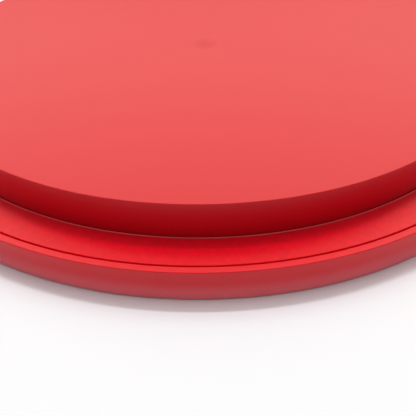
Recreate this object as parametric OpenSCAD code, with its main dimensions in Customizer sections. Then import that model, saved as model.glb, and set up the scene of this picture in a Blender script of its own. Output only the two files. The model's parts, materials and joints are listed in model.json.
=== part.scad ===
// Portable pop-up disc golf basket, packed closed.
// A shallow round tub is the catch tray, and its side wall hides the feet under it.
// A drum canopy drops into the tub. A nest of mast sleeves lifts the canopy off the
// tray, with the chains slung between.
// Z is up, the ground is z = 0 and the mast axis is x = y = 0.

/* [Tub] */
// Outer diameter of the tub
case_d = 630; // [600:5:760]
// Height of the tub's rim above the ground
rim_h = 26; // [25:0.5:36]
// Width of the flat top of the rim
lip_w = 6.2; // [5:0.1:8]
// Thickness of the tub's side wall
tub_wall = 3.2; // [2.4:0.1:4]
// Thickness of the tub's floor
tub_floor = 3; // [2.4:0.1:4]
// Gap between the foot of the side wall and the ground
wall_gap = 0.4; // [0.2:0.1:1]
// Radius under the tub's bottom edge
corner_r = 1; // [0.5:0.1:2]

/* [Deck ring] */
// Thickness of the deck ring
deck_t = 4; // [3:0.1:5]
// Width of the groove between rim and deck ring
groove_w = 1.4; // [0.8:0.1:2.5]
// Gap between deck ring and canopy
seam_gap = 0.7; // [0.6:0.1:2]
// Width of the fine raised lip around the deck ring's inner edge
deck_lip_w = 0.9; // [0.6:0.1:1.6]
// Height of that lip above the deck ring
deck_lip_h = 0.3; // [0.2:0.1:0.8]
// Width of the tub's shelf under the deck ring
shelf_w = 10.8; // [8:0.2:14]
// Thickness of that shelf
shelf_t = 3; // [2:0.1:4]
// Number of screws that hold the deck ring
deck_screw_count = 8; // [6:1:12]

/* [Canopy] */
// Diameter of the canopy drum
canopy_d = 554; // [440:2:580]
// Height of the canopy's top above the deck ring
canopy_rise = 29.5; // [26:0.5:44]
// Thickness of the canopy's top
plate_t = 3; // [2.4:0.1:4]
// Thickness of the canopy's skirt
skirt_t = 3; // [2.4:0.1:4]
// Radius of the canopy's top edge
edge_r = 0.6; // [0.4:0.1:2.4]
// Number of ribs under the canopy
rib_count = 12; // [6:6:12]
// Height of those ribs
rib_h = 3; // [2:0.1:3.2]
// Thickness of those ribs
rib_t = 2.4; // [1.6:0.1:3]
// Thickness of the boss under the canopy's middle
hub_t = 2.5; // [2:0.1:3]
// Diameter of the shallow moulding mark in the middle of the top
mark_d = 32; // [20:1:40]
// Depth of that mark
mark_depth = 0.6; // [0.2:0.1:0.9]

/* [Mast] */
// Number of sleeves, counting the canopy's own post
stage_count = 12; // [8:1:13]
// Outer diameter of the canopy's post, the innermost sleeve
post_d = 60; // [50:1:72]
// Wall of each sleeve
sleeve_wall = 1.8; // [1.4:0.1:2.2]
// How far each sleeve's foot bead and top collar stand out
bead_w = 1.5; // [1:0.1:1.8]
// Height of the foot bead
bead_h = 3; // [2:0.1:4]
// Height of the top collar
collar_h = 3.4; // [2:0.1:4]
// Wall of the socket that the outermost sleeve slides in
socket_wall = 3; // [2.4:0.1:4]
// Thickness of the socket's and the post's flanges
flange_t = 3; // [2.4:0.1:4]
// Number of rivets in the socket and of screws in the post
hub_fixings = 6; // [4:1:6]

/* [Chains] */
// Number of outer chains
chain_count = 12; // [6:6:12]
// Number of inner chains
inner_count = 6; // [3:3:6]
// Wire of the two chain hoops
hoop_wire_d = 6; // [5:0.5:8]
// Wire of the ring that gathers the chains
anchor_wire_d = 5; // [4:0.5:6]
// Wire of the hooks that carry the chains
hook_wire_d = 3; // [2.4:0.2:3.4]
// Width of a chain
chain_w = 9; // [7:0.5:10]
// Thickness of a folded chain
chain_t = 4; // [3:0.5:5]
// Distance from the canopy's edge to the outer hoop
hoop_inset = 42; // [30:1:50]

/* [Feet] */
// Height of the feet
foot_h = 3; // [2.5:0.1:5]
// Number of feet around the edge
foot_count = 6; // [4:1:8]
// Diameter of those feet
foot_d = 22; // [18:1:26]
// Diameter of the foot under the mast
centre_foot_d = 90; // [60:2:120]
// Distance from the tub's edge to the feet's middle
foot_inset = 30; // [28:1:34]
// Diameter of the pads that the canopy rests on
pad_d = 10; // [8:0.5:12]
// Height of those pads
pad_h = 2; // [1.5:0.1:2.5]
// Number of pads
pad_count = 8; // [6:1:12]

/* [Locks] */
// Diameter of a lock's bolt
bolt_d = 8; // [6:0.5:9]
// Travel of a lock's bolt
bolt_travel = 8; // [7:0.5:9]
// Diameter of the knob
knob_d = 12; // [10:0.5:14]
// Length of the knob
knob_l = 8; // [6:0.5:9]
// Width of the guide block
guide_w = 28; // [26:1:34]
// Length of the guide block along the bolt
guide_l = 12; // [10:0.5:13]

/* [Handle] */
// Width of the handle between the middles of its arms
handle_w = 120; // [110:2:150]
// Reach of the handle from its hinge pins
handle_reach = 42; // [36:1:50]
// Rod of the handle
rod_d = 8; // [6:0.5:10]
// Diameter of the soft grip
grip_d = 18; // [14:0.5:20]
// Length of the soft grip
grip_l = 90; // [80:1:96]
// Diameter of the hinge pins
pin_d = 6; // [5:0.5:7]
// Thickness of a bracket's ear
ear_t = 10; // [8:0.5:12]
// Height of a bracket
bracket_h = 16; // [14:0.5:17]

/* [Ground stakes] */
// Diameter of a stake hole in the tray
stake_d = 9; // [6:0.5:12]
// Diameter of the circle that the stake holes lie on
stake_pcd = 520; // [380:2:530]
// Number of stake holes
stake_count = 4; // [4:4:4]

/* [Hidden] */
$fn = 96;
bite = 1;            // extra length of a cutting tool past a face
run_gap = 0.4;       // between sliding sleeves, on the radius
rest_gap = 0.3;      // between a moving piece and what it rests on
fit_gap = 0.05;      // between a pin or screw and its hole, on the radius
hoop_gap = 0.15;     // between a hoop's wire and its clips, on the radius
clear_gap = 0.5;     // around a piece that must never touch
flange_gap = 0.7;    // between the sleeves' tops and the post's flange
edge_margin = 3;     // from a screw head or a flange to the next edge out
driver_room = 4.5;   // beside a screw head, for the driver

screw_r = 2;
screw_head_r = 3.9;
screw_head_h = 2.6;
small_screw_r = 1.5;
small_head_r = 2.9;
small_head_h = 1.6;
rivet_r = 2.4;
rivet_head_r = 4.2;
rivet_head_h = 1.5;
rivet_tail_r = 3.4;
rivet_tail_h = 1.2;
counterbore_h = 3;   // recess for a screw head under the tub
screw_cover = 1;     // plastic left over a screw's tip
tip_gap = 0.2;       // between a screw's tip and the end of its hole

case_r = case_d / 2;
floor_z = foot_h;
tray_z = floor_z + tub_floor;
lip_r = case_r - lip_w;
deck_r = lip_r - groove_w;
deck_z = rim_h - deck_t;
shelf_r = lip_r - shelf_w;
lip_edge = 0.5;

canopy_r = canopy_d / 2;
deck_in_r = canopy_r + seam_gap;
top_z = rim_h + canopy_rise;
ceiling_z = top_z - plate_t;
skirt_z = tray_z + pad_h + rest_gap;
hub_z = ceiling_z - hub_t;
rib_z = ceiling_z - rib_h;

pitch = sleeve_wall + bead_w + run_gap;
post_r = post_d / 2;
function sleeve_r(k) = post_r + (stage_count - k) * pitch;
mast_z = tray_z + flange_t + rest_gap;
post_flange_z = hub_z - flange_t;
mast_top_z = post_flange_z - flange_gap;
socket_in_r = sleeve_r(0) - sleeve_wall;
socket_r = socket_in_r + socket_wall;
fixing_r = socket_r + screw_head_r + driver_room;
post_flange_r = fixing_r + screw_head_r + edge_margin;
hub_r = post_flange_r + edge_margin;

clip_wall = 2.5;
clip_w = 8;
clip_roof = 2;
anchor_gap = 5.5;    // between a rivet's head and the anchor ring
anchor_r = fixing_r + rivet_head_r + anchor_gap + anchor_wire_d / 2;
anchor_z = tray_z + flange_t + clip_wall + anchor_wire_d / 2;
clip_l = anchor_wire_d + 2 * clip_wall;
socket_flange_r = anchor_r + clip_l / 2 + clip_roof;

inner_shift = 19;    // how far the inner hoop sits inside the middle of its span
hook_play = 1;       // between a hook and its hoop, on the radius
hook_seat = 0.1;     // left of that play above the hoop
hoop_r = canopy_r - hoop_inset;
inner_hoop_r = (hoop_r + socket_flange_r) / 2 - inner_shift;
hoop_z = rib_z - clear_gap - hoop_wire_d / 2;
hook_r = hoop_wire_d / 2 + hook_play + hook_wire_d / 2;
hook_z = hoop_z - hook_play + hook_seat;
hook_bottom_z = hook_z - hook_r - hook_wire_d / 2;
chain_top_z = hook_bottom_z - rest_gap;
chain_bottom_z = anchor_z + anchor_wire_d / 2 + rest_gap;
hoop_clip_wall = 2;
hoop_clip_l = hoop_wire_d + 2 * hoop_clip_wall;
hoop_clip_w = 10;
outer_clip_turn = 7.5;
inner_turn = 22.5;
inner_clip_turn = 52.5;
rib_turn = 15;

foot_pcr = case_r - foot_inset;
foot_turn = 30;
foot_recess = 0.6;   // how far a foot's screw head lies above the ground
foot_head_z = foot_recess + small_head_h;
boss_h = 4;
boss_r = 5;
pad_turn = 22.5;     // keeps the pads clear of the feet's bosses
pillar_r = 5.2;
pillar_gap = 0.4;    // from a pillar to the deck ring's edge
pillar_pcr = deck_r - pillar_r - pillar_gap;
pillar_turn = 22.5;
counterbore_z = floor_z + counterbore_h;
deck_screw_tip = rim_h - screw_cover;

bolt_rise = 9;       // of a bolt's axis above the deck
bolt_back = 2.5;     // between a drawn bolt and the skirt
hole_play = 0.25;    // between a bolt and its hole in the skirt, on the radius
guide_h = 16;
guide_gap = 7;       // between a guide and the skirt
guide_margin = 1.4;  // beside a guide's screw heads
bolt_z = rim_h + bolt_rise;
guide_x = canopy_r + guide_gap;
bolt_tip_x = canopy_r + bolt_back;
knob_x = guide_x + guide_l + bolt_travel + clear_gap;
guide_screw_y = guide_w / 2 - small_head_r - guide_margin;

hinge_out = 12;      // from the tub's wall to the hinge's axis
hinge_rise = 14;     // from the tub's floor to the hinge's axis
bracket_rise = 5;    // from the tub's floor to a bracket's underside
hinge_y = case_r + hinge_out;
hinge_z = floor_z + hinge_rise;
bracket_z = floor_z + bracket_rise;
eye_r = pin_d / 2 + 3.5;
eye_t = rod_d + 0.6;
arm_x = handle_w / 2;
ear_x = arm_x + eye_t / 2 + clear_gap;
pad_thick = 4;
pad_reach = 31;
rivet_spacing = 10;
rivet_x = ear_x + ear_t + 5.5;
rivet_xs = [rivet_x, rivet_x + rivet_spacing];
bracket_rivet_z = bracket_z + 7;
wall_reach = 10;     // of a drill through the tub's wall, each way
stop_w = 7;
stop_gap = 1;        // between an eye and the stop
stop_top_z = hinge_z - rod_d / 2 - rest_gap;
pin_head_r = pin_d / 2 + 2;
pin_head_t = 3;

STAGES = [for (k = [1 : stage_count - 1]) str("mast_sleeve_", k < 10 ? "0" : "", k)];

// Copies the children count times around the mast axis
module around(count, turn = 0, r = 0) {
    for (i = [0 : count - 1])
        rotate([0, 0, turn + i * 360 / count])
            translate([r, 0, 0])
                children();
}

module tube(r_out, r_in, z0, z1) {
    rotate_extrude($fn = 180)
        translate([r_in, z0])
            square([r_out - r_in, z1 - z0]);
}

module rod(r, z0, z1) {
    translate([0, 0, z0])
        cylinder(r = r, h = z1 - z0);
}

module hoop(r, wire_r, z) {
    translate([0, 0, z])
        rotate_extrude($fn = 180)
            translate([r, 0])
                circle(r = wire_r, $fn = 32);
}

// A block that a hoop passes through, from z0 up to z1
module hoop_clip(r, wire_r, hoop_h, len, wid, z0, z1) {
    difference() {
        translate([r - len / 2, -wid / 2, z0])
            cube([len, wid, z1 - z0]);
        translate([0, 0, hoop_h])
            rotate_extrude($fn = 180)
                translate([r, 0])
                    circle(r = wire_r + hoop_gap, $fn = 32);
    }
}

// ---------- tub ----------

module tub_profile() {
    arc = [for (a = [270 : 10 : 360])
        [case_r - corner_r + corner_r * cos(a), wall_gap + corner_r + corner_r * sin(a)]];
    polygon(concat(
        [[0, floor_z], [case_r - tub_wall, floor_z], [case_r - tub_wall, wall_gap]],
        arc,
        [[case_r, rim_h - lip_edge], [case_r - lip_edge, rim_h], [lip_r + lip_edge, rim_h],
         [lip_r, rim_h - lip_edge], [lip_r, deck_z], [shelf_r, deck_z],
         [shelf_r, deck_z - shelf_t], [case_r - tub_wall, deck_z - shelf_t],
         [case_r - tub_wall, tray_z], [0, tray_z]]));
}

module base_tub() {
    color("firebrick")
        difference() {
            union() {
                rotate_extrude($fn = 180)
                    tub_profile();
                around(deck_screw_count, pillar_turn, pillar_pcr)
                    rod(pillar_r, tray_z - bite, deck_z - shelf_t / 2);
                around(foot_count, foot_turn, foot_pcr)
                    rod(boss_r, tray_z - bite, tray_z + boss_h);
            }
            around(deck_screw_count, pillar_turn, pillar_pcr) {
                rod(screw_head_r + clear_gap, floor_z - bite, counterbore_z);
                rod(screw_r + fit_gap, floor_z - bite, deck_z + bite);
            }
            around(foot_count, foot_turn, foot_pcr)
                rod(small_screw_r + fit_gap, floor_z - bite, tray_z + boss_h - screw_cover);
            around(hub_fixings, 0, fixing_r)
                rod(rivet_r + fit_gap, floor_z - bite, tray_z + bite);
            around(stake_count, 45, stake_pcd / 2)
                rod(stake_d / 2, floor_z - bite, tray_z + bite);
            for (side = [-1, 1], x = rivet_xs)
                bracket_rivet_place(side * x)
                    rod(rivet_r + fit_gap, -wall_reach, wall_reach);
        }
}

module deck_ring() {
    color("red")
        difference() {
            union() {
                tube(deck_r, deck_in_r, deck_z, rim_h);
                tube(deck_in_r + deck_lip_w, deck_in_r, deck_z, rim_h + deck_lip_h);
            }
            around(deck_screw_count, pillar_turn, pillar_pcr)
                rod(screw_r + fit_gap, deck_z - bite, deck_screw_tip + tip_gap);
        }
}

module deck_screws() {
    color("silver")
        around(deck_screw_count, pillar_turn, pillar_pcr) {
            rod(screw_head_r, counterbore_z - screw_head_h, counterbore_z);
            rod(screw_r, counterbore_z - bite, deck_screw_tip);
        }
}

// ---------- feet and pads ----------

module edge_feet() {
    color("dimgray")
        around(foot_count, foot_turn, foot_pcr)
            difference() {
                rod(foot_d / 2, 0, foot_h);
                rod(small_head_r + rest_gap, -bite, foot_head_z);
                rod(small_screw_r + fit_gap, -bite, foot_h + bite);
            }
}

module foot_screws() {
    color("silver")
        around(foot_count, foot_turn, foot_pcr) {
            rod(small_head_r, foot_head_z - small_head_h, foot_head_z);
            rod(small_screw_r, foot_head_z - clear_gap, tray_z + boss_h - screw_cover - tip_gap);
        }
}

module centre_foot() {
    color("dimgray")
        rod(centre_foot_d / 2, 0, foot_h);
}

module canopy_pads() {
    color("dimgray")
        around(pad_count, pad_turn, canopy_r - skirt_t / 2)
            rod(pad_d / 2, tray_z, tray_z + pad_h);
}

// ---------- mast ----------

module mast_socket() {
    color("darkred")
        difference() {
            union() {
                rod(socket_flange_r, tray_z, tray_z + flange_t);
                tube(socket_r, socket_in_r, tray_z, mast_top_z);
                tube(socket_r, socket_in_r - bead_w, mast_top_z - collar_h, mast_top_z);
            }
            around(hub_fixings, 0, fixing_r)
                rod(rivet_r + fit_gap, tray_z - bite, tray_z + flange_t + bite);
        }
}

module socket_rivets() {
    color("silver")
        around(hub_fixings, 0, fixing_r) {
            rod(rivet_head_r, tray_z + flange_t, tray_z + flange_t + rivet_head_h);
            rod(rivet_r, floor_z - clear_gap, tray_z + flange_t + clear_gap);
            rod(rivet_tail_r, floor_z - rivet_tail_h, floor_z);
        }
}

// Sleeve number k, counted from the socket inwards
module mast_sleeve(k) {
    r = sleeve_r(k);
    color(k % 2 == 0 ? "red" : "firebrick") {
        rotate_extrude($fn = 180)
            polygon([
                [r - sleeve_wall, mast_z],
                [r + bead_w, mast_z],
                [r + bead_w, mast_z + bead_h],
                [r, mast_z + bead_h],
                [r, mast_top_z],
                [r - sleeve_wall - bead_w, mast_top_z],
                [r - sleeve_wall - bead_w, mast_top_z - collar_h],
                [r - sleeve_wall, mast_top_z - collar_h]]);
    }
}

module canopy_post() {
    color("red")
        difference() {
            rotate_extrude($fn = 180)
                polygon([
                    [post_r - sleeve_wall, mast_z],
                    [post_r + bead_w, mast_z],
                    [post_r + bead_w, mast_z + bead_h],
                    [post_r, mast_z + bead_h],
                    [post_r, post_flange_z],
                    [post_flange_r, post_flange_z],
                    [post_flange_r, hub_z],
                    [post_r - sleeve_wall, hub_z]]);
            around(hub_fixings, 0, fixing_r)
                rod(screw_r + fit_gap, post_flange_z - bite, hub_z + bite);
        }
}

module post_screws() {
    color("silver")
        around(hub_fixings, 0, fixing_r) {
            rod(screw_head_r, post_flange_z - screw_head_h, post_flange_z);
            rod(screw_r, post_flange_z - bite, top_z - plate_t / 2);
        }
}

// ---------- canopy ----------

module canopy_profile() {
    arc = [for (a = [0 : 15 : 90])
        [canopy_r - edge_r + edge_r * cos(a), top_z - edge_r + edge_r * sin(a)]];
    polygon(concat(
        [[canopy_r - skirt_t, skirt_z], [canopy_r, skirt_z]],
        arc,
        [[0, top_z], [0, hub_z], [hub_r, hub_z], [hub_r, ceiling_z],
         [canopy_r - skirt_t, ceiling_z]]));
}

module canopy_shell() {
    mark_ball_r = (pow(mark_d / 2, 2) + pow(mark_depth, 2)) / (2 * mark_depth);
    color("red")
        difference() {
            union() {
                rotate_extrude($fn = 180)
                    canopy_profile();
                around(rib_count, rib_turn)
                    translate([hub_r - bite, -rib_t / 2, rib_z])
                        cube([canopy_r - skirt_t - hub_r + 2 * bite, rib_t, rib_h + bite]);
            }
            around(hub_fixings, 0, fixing_r)
                rod(screw_r + fit_gap, hub_z - bite, top_z - plate_t / 2 + tip_gap);
            around(2)
                translate([canopy_r - skirt_t - 2 * bite, 0, bolt_z])
                    rotate([0, 90, 0])
                        cylinder(r = bolt_d / 2 + hole_play, h = skirt_t + 4 * bite);
            translate([0, 0, top_z - mark_depth + mark_ball_r])
                sphere(r = mark_ball_r, $fn = 200);
        }
}

// ---------- chain gear ----------

module outer_hoop() {
    color("gainsboro")
        hoop(hoop_r, hoop_wire_d / 2, hoop_z);
}

module inner_hoop() {
    color("gainsboro")
        hoop(inner_hoop_r, hoop_wire_d / 2, hoop_z);
}

module hoop_clips() {
    clip_z = hoop_z - hoop_wire_d / 2 - hoop_clip_wall;
    color("dimgray") {
        around(chain_count, outer_clip_turn)
            hoop_clip(hoop_r, hoop_wire_d / 2, hoop_z, hoop_clip_l, hoop_clip_w,
                clip_z, ceiling_z);
        around(inner_count, inner_clip_turn)
            hoop_clip(inner_hoop_r, hoop_wire_d / 2, hoop_z, hoop_clip_l, hoop_clip_w,
                clip_z, ceiling_z);
    }
}

module chain_hook(r) {
    translate([r, 0, hook_z])
        rotate([90, 0, 0])
            rotate_extrude($fn = 48)
                translate([hook_r, 0])
                    circle(r = hook_wire_d / 2, $fn = 24);
}

module chain_hooks() {
    color("silver") {
        around(chain_count)
            chain_hook(hoop_r);
        around(inner_count, inner_turn)
            chain_hook(inner_hoop_r);
    }
}

module chain_anchor_ring() {
    color("gainsboro")
        hoop(anchor_r, anchor_wire_d / 2, anchor_z);
}

module anchor_clips() {
    color("dimgray")
        around(inner_count, rib_turn)
            hoop_clip(anchor_r, anchor_wire_d / 2, anchor_z, clip_l, clip_w,
                tray_z + flange_t, anchor_z + anchor_wire_d / 2 + clip_roof);
}

// A folded chain, as a plain slanting bar from the anchor ring up to its hook
module folded_chain(r_top) {
    run = r_top - anchor_r;
    rise = chain_top_z - chain_bottom_z - chain_t * 1.1;
    rotate([0, -atan2(rise, run), 0])
        translate([0, -chain_w / 2, 0])
            cube([norm([run, rise]) - chain_t * 0.2, chain_w, chain_t]);
}

module outer_chains() {
    color("silver")
        around(chain_count, 0, anchor_r)
            translate([0, 0, chain_bottom_z])
                folded_chain(hoop_r);
}

module inner_chains() {
    color("silver")
        around(inner_count, inner_turn, anchor_r)
            translate([0, 0, chain_bottom_z])
                folded_chain(inner_hoop_r);
}

// ---------- locks ----------

module lock_guides() {
    color("dimgray")
        around(2)
            difference() {
                translate([guide_x, -guide_w / 2, rim_h])
                    cube([guide_l, guide_w, guide_h]);
                translate([guide_x - bite, 0, bolt_z])
                    rotate([0, 90, 0])
                        cylinder(r = bolt_d / 2 + fit_gap, h = guide_l + 2 * bite);
                for (side = [-1, 1])
                    translate([guide_x + guide_l / 2, side * guide_screw_y, 0])
                        rod(small_screw_r + fit_gap, rim_h - bite, rim_h + guide_h + bite);
            }
}

module guide_screws() {
    color("silver")
        around(2)
            for (side = [-1, 1])
                translate([guide_x + guide_l / 2, side * guide_screw_y, 0]) {
                    rod(small_head_r, rim_h + guide_h, rim_h + guide_h + small_head_h);
                    rod(small_screw_r, rim_h, rim_h + guide_h + small_head_h / 2);
                }
}

module lock_bolt() {
    color("silver")
        translate([bolt_tip_x, 0, bolt_z])
            rotate([0, 90, 0])
                cylinder(r = bolt_d / 2, h = knob_x - bolt_tip_x);
}

module lock_knob() {
    color("black")
        translate([knob_x, 0, bolt_z])
            rotate([0, 90, 0])
                cylinder(r = knob_d / 2, h = knob_l);
}

module lock_bolt_right() {
    lock_bolt();
}

module lock_knob_right() {
    lock_knob();
}

module lock_bolt_left() {
    rotate([0, 0, 180])
        lock_bolt();
}

module lock_knob_left() {
    rotate([0, 0, 180])
        lock_knob();
}

// ---------- carry handle ----------

// Puts a fixing at x on the back of the tub's wall: its own Z points outwards
// and its zero is on the wall
module bracket_rivet_place(x) {
    rotate([0, 0, 90 - asin(x / (case_r + pad_thick))])
        translate([case_r, 0, bracket_rivet_z])
            rotate([0, 90, 0])
                children();
}

// The bracket at +X; the other is its mirror image
module handle_bracket() {
    inner_x = arm_x - eye_t / 2 - clear_gap;
    pad_end = ear_x + pad_reach;
    difference() {
        union() {
            intersection() {
                translate([ear_x, 0, bracket_z])
                    cube([pad_end - ear_x, case_r + pad_thick, bracket_h]);
                rod(case_r + pad_thick, bracket_z, bracket_z + bracket_h);
            }
            translate([ear_x, case_r * 0.8, bracket_z])
                cube([ear_t, hinge_y + eye_r - case_r * 0.8, bracket_h]);
            translate([ear_x, hinge_y, bracket_z])
                cube([ear_t, eye_r + stop_gap + stop_w, stop_top_z - bracket_z]);
            translate([inner_x, hinge_y + eye_r + stop_gap, bracket_z])
                cube([ear_x + bite - inner_x, stop_w, stop_top_z - bracket_z]);
        }
        rod(case_r, bracket_z - bite, bracket_z + bracket_h + bite);
        translate([ear_x - bite, hinge_y, hinge_z])
            rotate([0, 90, 0])
                cylinder(r = pin_d / 2 + fit_gap, h = ear_t + 2 * bite);
        for (x = rivet_xs)
            bracket_rivet_place(x)
                rod(rivet_r + fit_gap, -wall_reach, wall_reach);
    }
}

module both_sides() {
    children();
    mirror([1, 0, 0])
        children();
}

module handle_brackets() {
    color("dimgray")
        both_sides()
            handle_bracket();
}

module bracket_rivets() {
    color("silver")
        for (side = [-1, 1], x = rivet_xs)
            bracket_rivet_place(side * x) {
                rod(rivet_head_r, pad_thick, pad_thick + rivet_head_h);
                rod(rivet_r, -tub_wall - clear_gap, pad_thick + clear_gap);
                rod(rivet_tail_r, -tub_wall - rivet_tail_h - tip_gap, -tub_wall - tip_gap);
            }
}

module handle_pins() {
    pin_x = arm_x - eye_t / 2 - clear_gap;
    color("silver")
        both_sides()
            translate([pin_x, hinge_y, hinge_z])
                rotate([0, 90, 0]) {
                    cylinder(r = pin_d / 2, h = ear_x + ear_t - pin_x);
                    translate([0, 0, ear_x + ear_t - pin_x])
                        cylinder(r = pin_head_r, h = pin_head_t);
                }
}

module handle_bail() {
    bar_y = hinge_y + handle_reach;
    color("silver") {
        difference() {
            union() {
                both_sides() {
                    translate([arm_x - eye_t / 2, hinge_y, hinge_z])
                        rotate([0, 90, 0])
                            cylinder(r = eye_r, h = eye_t);
                    translate([arm_x, hinge_y + eye_r - 2, hinge_z])
                        rotate([-90, 0, 0])
                            cylinder(r = rod_d / 2, h = handle_reach - eye_r + 2);
                    translate([arm_x, bar_y, hinge_z])
                        sphere(r = rod_d / 2, $fn = 48);
                }
                translate([-arm_x, bar_y, hinge_z])
                    rotate([0, 90, 0])
                        cylinder(r = rod_d / 2, h = handle_w);
            }
            both_sides()
                translate([arm_x - eye_t, hinge_y, hinge_z])
                    rotate([0, 90, 0])
                        cylinder(r = pin_d / 2 + fit_gap, h = 2 * eye_t);
        }
    }
}

module handle_grip() {
    color("black")
        translate([-grip_l / 2, hinge_y + handle_reach, hinge_z])
            rotate([0, 90, 0])
                difference() {
                    cylinder(r = grip_d / 2, h = grip_l);
                    translate([0, 0, -bite])
                        cylinder(r = rod_d / 2 + fit_gap, h = grip_l + 2 * bite);
                }
}

base_tub();
deck_ring();
deck_screws();
edge_feet();
foot_screws();
centre_foot();
canopy_pads();
mast_socket();
socket_rivets();
chain_anchor_ring();
anchor_clips();
lock_guides();
guide_screws();
handle_brackets();
bracket_rivets();
handle_pins();
canopy_shell();
canopy_post();
post_screws();
outer_hoop();
inner_hoop();
hoop_clips();
chain_hooks();
outer_chains();
inner_chains();
lock_bolt_right();
lock_knob_right();
lock_bolt_left();
lock_knob_left();
handle_bail();
handle_grip();
for (k = [1 : stage_count - 1]) mast_sleeve(k);
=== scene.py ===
"""A portable pop-up disc golf basket, packed closed: its fine pieces, finishes, light and camera."""
import json
import math

import bmesh
import bpy
from mathutils import Matrix, Vector


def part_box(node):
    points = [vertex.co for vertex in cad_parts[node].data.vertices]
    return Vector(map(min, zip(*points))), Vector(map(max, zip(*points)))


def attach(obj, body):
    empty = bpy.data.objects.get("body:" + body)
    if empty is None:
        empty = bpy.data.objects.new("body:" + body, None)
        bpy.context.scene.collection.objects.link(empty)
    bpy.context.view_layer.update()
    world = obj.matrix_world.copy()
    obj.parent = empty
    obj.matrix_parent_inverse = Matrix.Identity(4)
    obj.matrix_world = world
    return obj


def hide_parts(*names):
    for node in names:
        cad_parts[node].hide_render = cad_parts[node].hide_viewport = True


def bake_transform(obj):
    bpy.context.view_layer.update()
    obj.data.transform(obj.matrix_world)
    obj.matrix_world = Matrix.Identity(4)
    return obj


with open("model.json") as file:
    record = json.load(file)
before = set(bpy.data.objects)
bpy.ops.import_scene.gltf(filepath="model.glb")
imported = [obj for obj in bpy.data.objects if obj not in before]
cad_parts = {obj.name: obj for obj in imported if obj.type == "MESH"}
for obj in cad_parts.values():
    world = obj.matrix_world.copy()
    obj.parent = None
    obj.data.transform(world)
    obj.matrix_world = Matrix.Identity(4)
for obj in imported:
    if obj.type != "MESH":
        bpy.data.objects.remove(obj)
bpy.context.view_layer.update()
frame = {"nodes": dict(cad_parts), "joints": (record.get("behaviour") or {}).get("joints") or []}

MM = 0.001
FULL_TURN = 2 * math.pi
FINE_TURN = 288      # segments round the drum and the tub
MAST_TURN = 144      # segments round a mast sleeve


# ---------- sizes, from the frame ----------

def low(node):
    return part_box(node)[0]


def high(node):
    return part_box(node)[1]


RIM_Z = high("base_tub").z
WALL_FOOT_Z = low("base_tub").z
FLOOR_Z = high("edge_feet").z
TRAY_Z = low("mast_socket").z
DECK_R = high("deck_ring").x
DECK_Z = low("deck_ring").z
CANOPY_R = high("canopy_shell").x
TOP_Z = high("canopy_shell").z
SKIRT_Z = low("canopy_shell").z
HUB_Z = high("canopy_post").z
POST_FLANGE_R = high("canopy_post").x

LIP_W = 6.2 * MM
GROOVE_W = 1.4 * MM
TUB_R = DECK_R + (GROOVE_W + LIP_W)
TUB_WALL = 3.2 * MM
SHELF_W = 10.8 * MM
SHELF_T = 3 * MM
CORNER_R = 1 * MM
SEAM_GAP = 0.7 * MM
DECK_LIP_W = 0.9 * MM
PLATE_T = 3 * MM
EDGE_R = 0.6 * MM
MARK_R = 16 * MM
MARK_DEPTH = 0.6 * MM
PIT_R = 1.2 * MM
SLEEVE_WALL = 1.8 * MM
SLEEVE_STEP = 3.7 * MM     # from one sleeve's radius to the next one's
SOCKET_WALL = 3 * MM
SOCKET_GAP = 0.4 * MM
BEAD_W = 1.5 * MM
BEAD_H = 3 * MM
COLLAR_H = 3.4 * MM
FLANGE_T = 3 * MM
FIT = 0.05 * MM


def joint(name):
    return next(j for j in frame["joints"] if j["name"] == name)


def solids_of(node):
    """(lowest corner, highest corner) of each separate solid of a CAD node."""
    mesh = bmesh.new()
    mesh.from_mesh(frame["nodes"][node].data)
    bmesh.ops.remove_doubles(mesh, verts=mesh.verts, dist=0.002 * MM)
    boxes, seen = [], set()
    for start in mesh.verts:
        if start in seen:
            continue
        seen.add(start)
        island, edge_of_island = [start], [start]
        while edge_of_island:
            vertex = edge_of_island.pop()
            for edge in vertex.link_edges:
                other = edge.other_vert(vertex)
                if other not in seen:
                    seen.add(other)
                    island.append(other)
                    edge_of_island.append(other)
        corners = [[f(v.co[axis] for v in island) for axis in range(3)] for f in (min, max)]
        boxes.append((Vector(corners[0]), Vector(corners[1])))
    mesh.free()
    return boxes


# ---------- finishes ----------

class Value:
    """A number that varies over a surface. Sums of these become Math nodes."""

    def __init__(self, finish, socket):
        self.finish = finish
        self.socket = socket

    def math(self, operation, *terms):
        node = self.finish.node("ShaderNodeMath", {"operation": operation}, dict(enumerate(terms)))
        return Value(self.finish, node.outputs[0])

    def __add__(self, other):
        return self.math("ADD", self, other)

    def __sub__(self, other):
        return self.math("SUBTRACT", self, other)

    def __rsub__(self, other):
        return self.math("SUBTRACT", other, self)

    def __mul__(self, other):
        return self.math("MULTIPLY", self, other)

    __radd__ = __add__
    __rmul__ = __mul__

    def step(self, start, end):
        """0 before start, 1 after end, and a smooth rise between them."""
        node = self.finish.node(
            "ShaderNodeMapRange", {"interpolation_type": "SMOOTHSTEP"},
            {"Value": self, "From Min": start, "From Max": end})
        return Value(self.finish, node.outputs[0])


MIX_FACTOR, MIX_FIRST, MIX_SECOND, MIX_RESULT = 0, 6, 7, 2     # the Mix node's sockets for colours


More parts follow.
